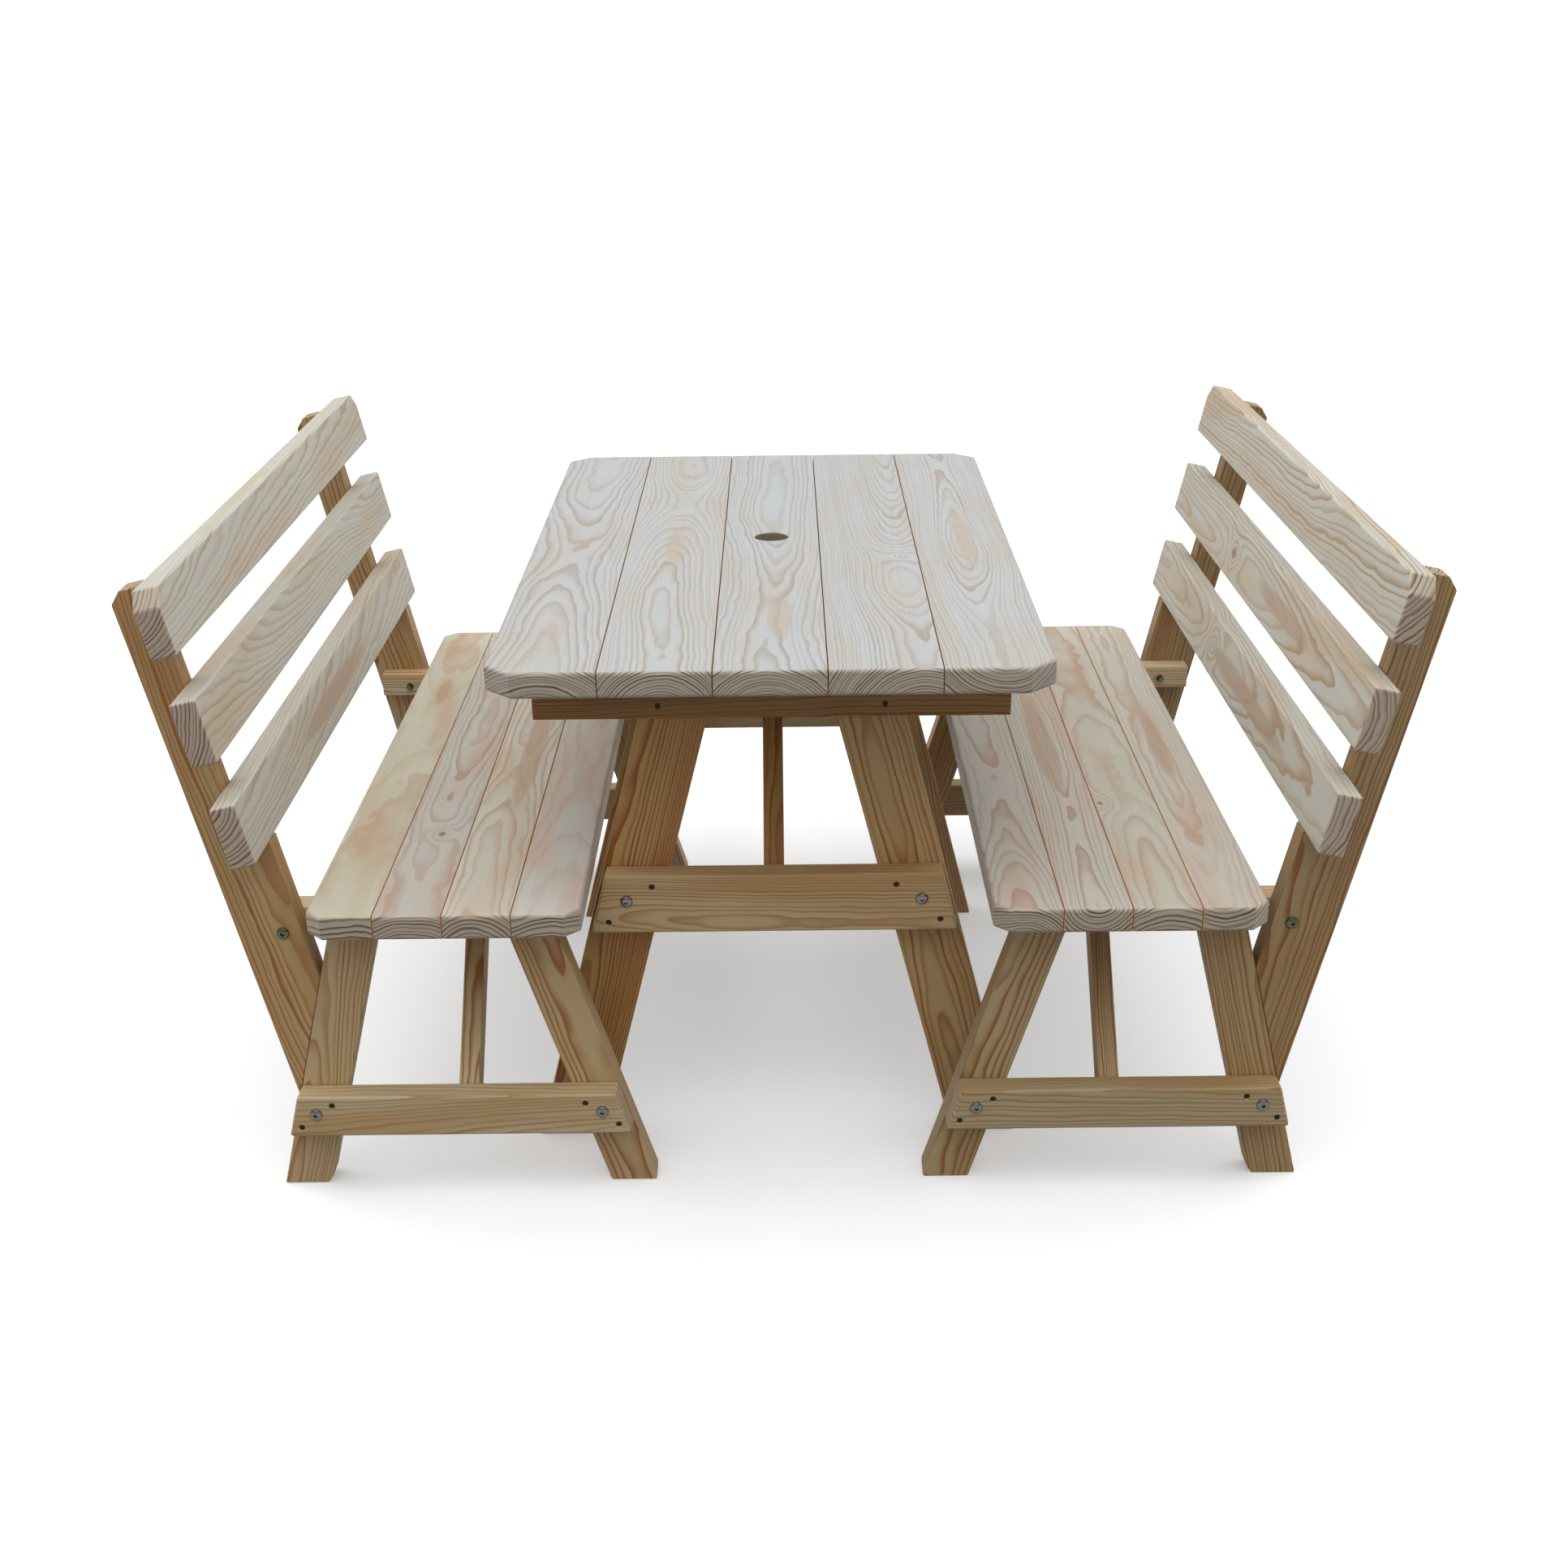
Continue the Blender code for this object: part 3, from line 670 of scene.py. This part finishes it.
def timber(node, body, material, kind, seams=(), tools=(), bore=0.0):
    """Show a timber in place of its CAD node, and return it.

    seams: outward directions of the faces that touch a neighbour.  tools: solids that are
    cut out of it.  bore: radius of a hole through it.
    """
    slot, width, segments, widest_rounding = TIMBER_KINDS[kind]
    outer, rebate = broad_faces(node, widest_rounding)
    shape = solid_between(outer)
    if rebate:
        opening = solid_between([(point, -normal) for point, normal in rebate])
        mesh = cut_away(mesh_from(shape, node), mesh_from(opening, "opening"))
        shape = bmesh.new()
        shape.from_mesh(mesh)
        merge_flat(shape)
    shape.normal_update()

    def barely_rounded(edge):
        if not seams:
            return False
        start, end = (vert.co for vert in edge.verts)
        sharp = edge.calc_face_angle(0) > math.radians(UPRIGHT_CORNER)
        upright = abs(start.z - end.z) > SEAM_ROUND
        in_seam = any(
            face.normal.dot(normal) > 0.99 for face in edge.link_faces for normal in seams
        )
        return (upright and sharp) or in_seam

    outer_edges = [edge for edge in shape.edges if edge.is_convex and not barely_rounded(edge)]
    round_edges(shape, outer_edges, width, segments)
    shape.normal_update()
    tight_edges = [edge for edge in shape.edges if barely_rounded(edge)]
    if tight_edges:
        round_edges(shape, tight_edges, SEAM_ROUND, 1)
    mesh = mesh_from(shape, node)
    for tool in tools:
        mesh = cut_away(mesh, tool)
    smooth(mesh, SMOOTH_BELOW["timber"])
    store_grain(mesh, node, seams, bore)
    piece = show(node + "_timber", mesh, material, body)
    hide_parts(node)
    weighted = piece.modifiers.new("even_shading", "WEIGHTED_NORMAL")
    weighted.keep_sharp = True
    return piece


def give_grain(piece, pith, swell, look, stain=NO_MARK, knot=NO_MARK, grain_and_painted_shade=(1.0, 1.0)):
    """A timber's own numbers, with places and lengths in metres from its middle.

    pith: across, depth below the middle, slope along the length.  swell: height, place and
    length of a rise of the pith.  look: seed, ring width, tone.  stain: place along and
    across, half length.  knot: place along and across, radius.  The last argument: contrast
    of the rings, and painted shade, which draws the timber darker below 1 and lighter above 1.
    """
    numbers = {
        "grain_and_painted_shade": (*grain_and_painted_shade, 0.0),
        "pith": pith,
        "swell": swell,
        "look": look,
        "stain": stain,
        "knot": knot,
    }
    for name, values in numbers.items():
        piece[name] = [float(value) for value in values]


def hole_tool():
    """The umbrella hole, measured on its board's CAD node: a list with the solid that cuts
    it, rounded at both rims, and its radius."""
    low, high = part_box(HOLED_BOARD)
    wall = [
        vert.co
        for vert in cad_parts[HOLED_BOARD].data.vertices
        if low.x + HOLE_FROM_SIDE < vert.co.x < high.x - HOLE_FROM_SIDE
        and abs(vert.co.y) < HOLE_FROM_MIDDLE
    ]
    xs, ys = [co.x for co in wall], [co.y for co in wall]
    radius = (max(xs) - min(xs)) / 2
    centre = Vector(((max(xs) + min(xs)) / 2, (max(ys) + min(ys)) / 2, high.z))
    thickness = high.z - low.z
    rim = [
        (radius + HOLE_RIM * (1 - math.cos(turn)), HOLE_RIM * (math.sin(turn) - 1))
        for turn in (math.radians(step) for step in HOLE_RIM_TURNS)
    ]
    profile = (
        (0.0, -thickness - HOLE_RIM),
        (radius + HOLE_RIM, -thickness - HOLE_RIM),
        *((reach, -thickness - height) for reach, height in reversed(rim)),
        *rim,
        (radius + HOLE_RIM, HOLE_RIM),
        (0.0, HOLE_RIM),
    )
    shape = bmesh.new()
    lathe(shape, profile, Matrix.Translation(centre), HOLE_SIDES)
    bmesh.ops.recalc_face_normals(shape, faces=shape.faces)
    return [mesh_from(shape, "hole_tool")], radius


# ---------------------------------------------------------------- grain
FINE_RINGS = (0.0034, 0.0054)
FRAME_BEND = 0.4                # of frame timbers' grain: 0 is straight, 1 has arches
FRAME_CONTRAST = 1.35
RAIL_CONTRAST = {"table": 1.3, "bench": 0.9}
# tone and painted shade of the table's frame, and of each bench's: below 1, painted shade under the
# top and the seats
BATTEN_TONES, BATTEN_PAINTED_SHADE = (0.95, 1.0), 0.44
RAIL_TONES, RAIL_PAINTED_SHADE = (0.3, 0.5), 0.86
LEG_TONES, LEG_PAINTED_SHADE = (0.6, 0.9), 0.79
BRACE_TONES, BRACE_PAINTED_SHADE = (0.9, 1.0), 0.68
BENCH_RAIL_TONES = (0.0, 0.15)
CLEAT_TONES = (0.0, 0.1)
BENCH_TONES = {"left": (0.3, 0.65), "right": (0.2, 0.5)}
BENCH_PAINTED_SHADE = {"left": 0.82, "right": 0.65}
POST_PAINTED_SHADE = {"left": 0.82, "right": 0.59}
TABLE_GRAIN = (
    dict(
        pith=(-0.004, 0.060, 0.004),
        swell=(0.014, -0.09, 0.20),
        look=(3.1, 0.0040, 0.10),
        stain=(-0.44, 0.0, 0.07),
    ),
    dict(
        pith=(0.004, 0.036, 0.012),
        swell=(0.013, 0.24, 0.20),
        look=(11.7, 0.0038, 0.20),
        stain=(-0.02, 0.0, 0.15),
    ),
    dict(
        pith=(0.006, 0.040, -0.008),
        swell=(0.013, -0.28, 0.26),
        look=(23.4, 0.0040, 0.05),
        stain=(-0.36, 0.01, 0.12),
    ),
    dict(
        pith=(0.050, 0.030, -0.045),
        swell=(0.004, -0.40, 0.12),
        look=(37.9, 0.0036, 0.10),
        knot=(-0.083, 0.045, 0.015),
    ),
    dict(
        pith=(0.000, -0.078, 0.004),
        swell=(0.013, 0.02, 0.22),
        look=(49.2, 0.0040, 0.15),
        stain=(0.0, 0.004, 0.19),
    ),
)
# painted light and shade: a board's last given number lifts the left seat's first two boards out of
# the table's shade and darkens the right seat's boards a little
SEAT_GRAIN = {
    "left": (
        dict(
            pith=(0.010, 0.090, 0.012),
            swell=(0.010, -0.2, 0.3),
            look=(61.0, 0.0070, 0.10),
            stain=(0.34, 0.0, 0.12),
            grain_and_painted_shade=(0.45, 1.11),
        ),
        dict(
            pith=(-0.008, 0.046, 0.010),
            swell=(0.010, -0.1, 0.2),
            look=(67.3, 0.0056, 0.45),
            stain=(-0.05, 0.008, 0.24),
            grain_and_painted_shade=(1.0, 1.08),
        ),
        dict(
            pith=(0.004, 0.034, -0.024),
            swell=(0.008, 0.3, 0.15),
            look=(71.9, 0.0050, 0.0),
            knot=(-0.35, 0.006, 0.005),
        ),
        dict(
            pith=(0.010, 0.100, 0.010),
            swell=(0.010, 0.1, 0.3),
            look=(79.5, 0.0085, 0.80),
            stain=(0.28, 0.004, 0.09),
            grain_and_painted_shade=(0.6, 1.0),
        ),
    ),
    "right": (
        dict(
            pith=(-0.006, 0.050, 0.020),
            swell=(0.008, -0.3, 0.2),
            look=(83.1, 0.0040, 0.0),
            grain_and_painted_shade=(1.0, 0.96),
        ),
        dict(
            pith=(0.004, -0.060, -0.012),
            swell=(0.012, 0.1, 0.2),
            look=(91.6, 0.0050, 0.05),
            stain=(0.05, 0.0, 0.3),
            grain_and_painted_shade=(1.0, 0.97),
        ),
        dict(
            pith=(0.002, 0.060, 0.014),
            swell=(0.010, 0.25, 0.2),
            look=(97.7, 0.0056, 0.30),
            knot=(-0.26, -0.036, 0.004),
            grain_and_painted_shade=(0.7, 0.96),
        ),
        dict(
            pith=(-0.010, -0.070, 0.008),
            swell=(0.010, -0.2, 0.3),
            look=(103.2, 0.0060, 0.20),
            stain=(0.02, 0.0, 0.20),
            grain_and_painted_shade=(0.65, 0.98),
        ),
    ),
}
# limits of a back slat's grain: how far sideways the pith lies, ring width, tone
SLAT_KINDS = {
    "streaked": dict(sideways=(0.046, 0.064), rings=(0.0044, 0.0056), tones=(0.15, 0.4)),
    "striped": dict(sideways=(0.052, 0.068), rings=(0.0060, 0.0066), tones=(0.1, 0.3)),
    "arched": dict(sideways=(0.0, 0.030), rings=(0.0054, 0.0070), tones=(0.2, 0.5)),
}
SLAT_CONTRAST = {"streaked": 0.80, "striped": 1.15, "arched": 1.0}
SLAT_GRAIN = {
    "left_back_slat_low": dict(kind="streaked", stain=(-0.05, 0.0, 0.26)),
    "left_back_slat_middle": dict(kind="streaked"),
    "left_back_slat_top": dict(kind="streaked"),
    "right_back_slat_low": dict(
        kind="arched", stain=(-0.12, 0.0, 0.26), knot=(0.12, 0.0, 0.012)
    ),
    "right_back_slat_middle": dict(
        kind="arched", stain=(-0.20, 0.0, 0.20), knot=(0.16, 0.0, 0.008)
    ),
    "right_back_slat_top": dict(kind="striped"),
}


def random_grain(draw, piece, tones, painted_shade=1.0, contrast=FRAME_CONTRAST):
    """Grain for a frame timber with no numbers of its own, with a tone between two limits."""
    pith = (
        draw.choice((-1, 1)) * draw.uniform(0.012, 0.060),
        draw.choice((-1, 1)) * draw.uniform(0.030, 0.065),
        FRAME_BEND * draw.uniform(-0.03, 0.03),
    )
    swell = (
        FRAME_BEND * draw.uniform(0.0, 0.014),
        draw.uniform(-0.3, 0.3),
        draw.uniform(0.1, 0.25),
    )
    look = (draw.uniform(0, 400), draw.uniform(*FINE_RINGS), draw.uniform(*tones))
    give_grain(piece, pith, swell, look, grain_and_painted_shade=(contrast, painted_shade))


def slat_grain(draw, piece, kind, stain=NO_MARK, knot=NO_MARK):
    """Grain for a back slat, whose rings run slightly askew."""
    limits = SLAT_KINDS[kind]
    pith = (
        draw.choice((-1, 1)) * draw.uniform(*limits["sideways"]),
        draw.uniform(0.040, 0.062),
        draw.choice((-1, 1)) * draw.uniform(0.030, 0.052),
    )
    swell = (draw.uniform(0.0, 0.006), draw.uniform(-0.3, 0.3), draw.uniform(0.15, 0.25))
    look = (
        draw.uniform(0, 400),
        draw.uniform(*limits["rings"]),
        draw.uniform(*limits["tones"]),
    )
    give_grain(piece, pith, swell, look, stain, knot, (SLAT_CONTRAST[kind], 1.0))


# ---------------------------------------------------------------- the table and the benches
def flat_boards():
    """The table's and the seats' boards, which meet in tight seams."""
    for group, grains in {"table": TABLE_GRAIN, **SEAT_GRAIN}.items():
        side = SIDES.get(group, 1)
        for number, grain in enumerate(grains, 1):
            if group == "table":
                node, body, pine = f"table_top_board_{number}", "table", top_pine
            else:
                node, body, pine = f"{group}_seat_board_{number}", f"{group}_bench", seat_pine
            seams = []
            if number > 1:
                seams.append(Vector((-side, 0, 0)))
            if number < len(grains):
                seams.append(Vector((side, 0, 0)))
            tools, bore = hole_tool() if node == HOLED_BOARD else ((), 0.0)
            piece = timber(node, body, pine, "board", seams, tools, bore)
            give_grain(piece, **grain)


def outer_face(node, end):
    """The Y of a node's face that looks away from the middle of the set."""
    low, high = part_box(node)
    return low.y if end < 0 else high.y


def inner_face(node, end):
    """The Y of a node's face that looks back towards the middle of the set."""
    return outer_face(node, -end)


def middle_of(node):
    low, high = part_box(node)
    return (low + high) / 2


def rail_fasteners(rail, kind, end):
    """Where a rail's bolts and screws enter its outer face."""
    middle, face = middle_of(rail), outer_face(rail, end)
    bolts, screws = [], []
    for side in SIDES.values():
        x = middle.x + side * RAIL_BOLT_SPREAD[kind]
        z = middle.z + RAIL_BOLT_RISE[kind]
        bolts.append(Vector((x, face, z)))
        for inward, rise in (HIGH_SCREW[kind], LOW_SCREW[kind]):
            screws.append(Vector((x + side * inward, face, z + rise)))
    return bolts, screws


def add_screw(name, point, axis, body):
    """A countersunk screw: a head with a round recess, and its shank."""
    shape = bmesh.new()
    head = SCREW_HEAD_RADIUS
    profile = (
        (0.0, -SCREW_LENGTH),
        (0.0016, -SCREW_LENGTH + SCREW_TAPER),
        (0.0019, -SCREW_DEPTH - SCREW_TAPER),
        (head, -SCREW_DEPTH - 0.0006),
        (head, -SCREW_DEPTH),
        (head * 0.45, -SCREW_DEPTH + 0.0001),
        (head * 0.38, -SCREW_DEPTH - 0.0011),
        (0.0, -SCREW_DEPTH - 0.0013),
    )
    lathe(shape, profile, outward(point, axis), ROUND_SIDES)
    bmesh.ops.recalc_face_normals(shape, faces=shape.faces)
    mesh = mesh_from(shape, name)
    smooth(mesh, SMOOTH_BELOW["screw"])
    return show(name, mesh, screw_coat, body)


def add_bolt(name, point, axis, back, body, metal, nut_radius, washer_radius):
    """A domed bolt with a socket, its shank, and washer and nut at its back face."""
    shape = bmesh.new()
    place = outward(point, axis)
    washer_top = -abs(back - point.y)
    nut_top = washer_top - WASHER_THICKNESS
    nut_end = nut_top - NUT_HEIGHT
    tip = nut_end - THREAD_END
    dome = [
        (HEAD_RADIUS * math.cos(turn), HEAD_HEIGHT * (HEAD_RIM + (1 - HEAD_RIM) * math.sin(turn)))
        for turn in (math.radians(step) for step in HEAD_TURNS)
    ]
    bolt = [
        (0.0, tip),
        (SHANK_RADIUS - THREAD_EDGE, tip),
        (SHANK_RADIUS, tip + THREAD_EDGE),
        (SHANK_RADIUS, 0.0),
        (HEAD_RADIUS, 0.0),
        *dome,
        (HEAD_RADIUS * 0.37, HEAD_HEIGHT * 0.94),
        (HEAD_RADIUS * 0.34, HEAD_HEIGHT * 0.12),
        (0.0, HEAD_HEIGHT * 0.02),
    ]
    washer = [
        (SHANK_RADIUS, washer_top),
        (washer_radius - WASHER_EDGE, washer_top),
        (washer_radius, washer_top - WASHER_EDGE),
        (washer_radius, nut_top + WASHER_EDGE),
        (washer_radius - WASHER_EDGE, nut_top),
        (SHANK_RADIUS, nut_top),
        (SHANK_RADIUS, washer_top),
    ]
    nut = [
        (SHANK_RADIUS, nut_top),
        (nut_radius, nut_top),
        (nut_radius, nut_end + THREAD_EDGE),
        (nut_radius * 0.90, nut_end),
        (SHANK_RADIUS, nut_end),
        (SHANK_RADIUS, nut_top),
    ]
    for profile, sides in ((bolt, ROUND_SIDES), (washer, ROUND_SIDES), (nut, NUT_SIDES)):
        lathe(shape, profile, place, sides)
    bmesh.ops.remove_doubles(shape, verts=shape.verts, dist=WELD / 10)
    bmesh.ops.recalc_face_normals(shape, faces=shape.faces)
    mesh = mesh_from(shape, name)
    smooth(mesh, SMOOTH_BELOW["bolt"])
    return show(name, mesh, metal, body)


def rail_with_fasteners(draw, prefix, kind, end, body, leg, tones, painted_shade):
    """A rail, its two bolts, whose nuts lie behind the leg, and its four screws."""
    rail = f"{prefix}_rail"
    axis = Vector((0, end, 0))
    bolts, screws = rail_fasteners(rail, kind, end)
    piece = timber(rail, body, frame_pine, "rail", tools=[screw_tool(screws, axis)])
    random_grain(draw, piece, tones, painted_shade, RAIL_CONTRAST[kind])
    back = inner_face(leg, end)
    for number, point in enumerate(bolts, 1):
        add_bolt(f"{rail}_bolt_{number}", point, axis, back, body, zinc, NUT_RADIUS, WASHER_RADIUS)
    for number, point in enumerate(screws, 1):
        add_screw(f"{rail}_screw_{number}", point, axis, body)


def table_end(draw, end_name, end):
    """One end of the table's frame: rail, batten, legs and brace."""
    prefix = f"table_{end_name}"
    leg = f"{prefix}_left_leg"
    rail_with_fasteners(draw, prefix, "table", end, "table", leg, RAIL_TONES, RAIL_PAINTED_SHADE)
    batten = f"{prefix}_batten"
    axis = Vector((0, end, 0))
    middle, face = middle_of(batten), outer_face(batten, end)
    screws = [
        Vector((middle.x + side * BATTEN_SCREW_SPREAD, face, middle.z - BATTEN_SCREW_DROP))
        for side in SIDES.values()
    ]
    piece = timber(batten, "table", frame_pine, "frame", tools=[screw_tool(screws, axis)])
    random_grain(draw, piece, BATTEN_TONES, BATTEN_PAINTED_SHADE)
    for number, point in enumerate(screws, 1):
        add_screw(f"{batten}_screw_{number}", point, axis, "table")
    for part in ("left_leg", "right_leg", "brace"):
        piece = timber(f"{prefix}_{part}", "table", frame_pine, "frame")
        if part == "brace":
            random_grain(draw, piece, BRACE_TONES, BRACE_PAINTED_SHADE)
        else:
            random_grain(draw, piece, LEG_TONES, LEG_PAINTED_SHADE)


def bench_end(draw, side_name, end_name, end):
    """One end of a bench's frame: rail, cleat, legs, brace, and the post with its bolt."""
    body, prefix = f"{side_name}_bench", f"{side_name}_{end_name}"
    leg, painted_shade = f"{prefix}_inner_leg", BENCH_PAINTED_SHADE[side_name]
    rail_with_fasteners(draw, prefix, "bench", end, body, leg, BENCH_RAIL_TONES, painted_shade)
    tones = BENCH_TONES[side_name]
    grain_and_painted_shades = {
        "cleat": (CLEAT_TONES, 1.0),
        "inner_leg": (tones, painted_shade),
        "outer_leg": (tones, painted_shade),
        "brace": (tones, painted_shade),
        "post": (tones, POST_PAINTED_SHADE[side_name]),
    }
    for part, grain_and_painted_shade in grain_and_painted_shades.items():
        piece = timber(f"{prefix}_{part}", body, frame_pine, "frame")
        random_grain(draw, piece, *grain_and_painted_shade)
    bolt = f"{prefix}_post_bolt"
    point = middle_of(bolt)
    point.y = outer_face(f"{prefix}_post", end)
    back = inner_face(f"{prefix}_cleat", end)
    axis = Vector((0, end, 0))
    radius = SMALL_NUT_RADIUS
    piece = add_bolt(f"{bolt}_with_nut", point, axis, back, body, green_zinc, radius, radius)
    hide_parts(bolt)


def bench(draw, side_name):
    """A bench's back slats and its frame."""
    for place in ("low", "middle", "top"):
        node = f"{side_name}_back_slat_{place}"
        piece = timber(node, f"{side_name}_bench", slat_pine, "slat")
        slat_grain(draw, piece, **SLAT_GRAIN[node])
    for end_name, end in ENDS.items():
        bench_end(draw, side_name, end_name, end)


# ---------------------------------------------------------------- the studio
def floor():
    """A pale floor that takes shadows, but doesn't colour the set with bounced light."""
    shape = bmesh.new()
    bmesh.ops.create_circle(shape, cap_ends=True, segments=FLOOR_SIDES, radius=FLOOR_RADIUS)
    mesh = mesh_from(shape, "studio_floor")
    paint = plain_material("studio_floor", FLOOR_COLOUR, 0.9, 0.0)
    shader = paint.node_tree.nodes["Principled BSDF"]
    shader.inputs["Emission Color"].default_value = (1.0, 1.0, 1.0, 1.0)
    shader.inputs["Emission Strength"].default_value = FLOOR_GLOW
    mesh.materials.append(paint)
    item = bpy.data.objects.new("studio_floor", mesh)
    bpy.context.scene.collection.objects.link(item)
    item.location.z = set_low.z - FLOOR_DROP
    item.visible_diffuse = False


def soft_sun(name, place, spread, strength, colour):
    """An even, wide light that comes from a place towards the middle of the set."""
    light = bpy.data.lights.new(name, "SUN")
    light.angle = math.radians(spread)
    light.energy = strength
    light.color = colour
    item = bpy.data.objects.new(name, light)
    item.location = place
    item.rotation_euler = Vector(place).to_track_quat("Z", "Y").to_euler()
    bpy.context.scene.collection.objects.link(item)


def sky():
    """A plain sky whose strength depends on height: ground, horizon with haze, overhead."""
    world = bpy.data.worlds.new("studio_sky")
    bpy.context.scene.world = world
    world.use_nodes = True
    graph = Graph(world)
    background = world.node_tree.nodes["Background"]
    background.inputs["Color"].default_value = SKY_COLOUR
    height = graph.split(graph.node("ShaderNodeTexCoord").outputs["Generated"])[2]
    risen = graph.step(height, -0.10, 0.0)
    overhead = graph.step(height, 0.02, 0.42)
    haze = graph.maths("MULTIPLY", graph.step(height, -0.02, 0.0), graph.step(height, 0.12, 0.0))
    strength = GROUND_STRENGTH
    for share, extra in (
        (risen, HORIZON_STRENGTH - GROUND_STRENGTH),
        (overhead, SKY_STRENGTH - HORIZON_STRENGTH),
        (haze, HAZE_STRENGTH),
    ):
        strength = graph.maths("MULTIPLY_ADD", share, extra, strength)
    graph.plug(background.inputs["Strength"], strength)


def studio():
    floor()
    for name, settings in SUNS.items():
        soft_sun(name, *settings)
    sky()
    bpy.context.scene.view_settings.view_transform = "Standard"


def camera():
    """The photo's camera, which was recovered from the photo."""
    pitch, yaw = CAMERA_PITCH, CAMERA_YAW
    forward = Vector((
        math.sin(yaw) * math.cos(pitch), math.cos(yaw) * math.cos(pitch), -math.sin(pitch)
    ))
    level = Vector((math.cos(yaw), -math.sin(yaw), 0))
    above = level.cross(forward)
    right = math.cos(CAMERA_ROLL) * level + math.sin(CAMERA_ROLL) * above
    up = math.cos(CAMERA_ROLL) * above - math.sin(CAMERA_ROLL) * level
    data = bpy.data.cameras.new("photo_camera")
    data.sensor_width = SENSOR_WIDTH
    data.lens = CAMERA_LENS
    data.shift_x, data.shift_y = CAMERA_SHIFT
    item = bpy.data.objects.new("photo_camera", data)
    bpy.context.scene.collection.objects.link(item)
    turn = Matrix((right, up, -forward)).transposed().to_4x4()
    item.matrix_world = Matrix.Translation(CAMERA_PLACE) @ turn
    bpy.context.scene.camera = item


# ---------------------------------------------------------------- the scene
draw = random.Random(4)
flat_boards()
for end_name, end in ENDS.items():
    table_end(draw, end_name, end)
for side_name in SIDES:
    bench(draw, side_name)
studio()
camera()
